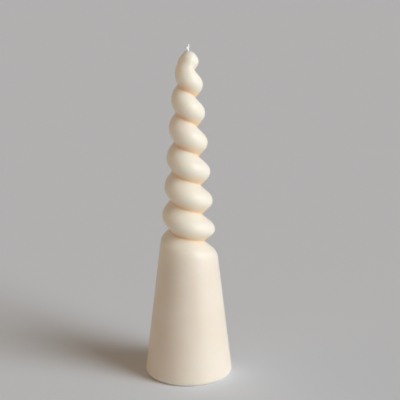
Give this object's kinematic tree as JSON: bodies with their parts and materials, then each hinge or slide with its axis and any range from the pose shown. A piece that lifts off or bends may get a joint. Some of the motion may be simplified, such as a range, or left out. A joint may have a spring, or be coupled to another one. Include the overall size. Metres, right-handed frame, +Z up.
{
  "type": "twisted horn candle",
  "caption": "Cream wax candle with a plain tapered foot that runs up into a spirally grooved horn, moulded in one piece round a plaited cotton wick.",
  "frame": {"origin": "centre of the flat base, on the surface that the candle stands on", "axes": "+Z up along the candle's axis towards the wick; -Y towards the viewer of the picture, +X to the viewer's right, where the lowest groove meets the shoulder"},
  "size_m": [0.0542, 0.0542, 0.2079],
  "materials": {
    "wax": "satin cream wax with a soft glow",
    "pour_wax": "matt cream wax, poured and left to set",
    "wick": "white waxed cotton plait"
  },
  "bodies": {
    "root": {"wax_body": "wax", "base_pour": "pour_wax", "wick_strand_1": "wick", "wick_strand_2": "wick", "wick_strand_3": "wick"}
  },
  "joints": []
}
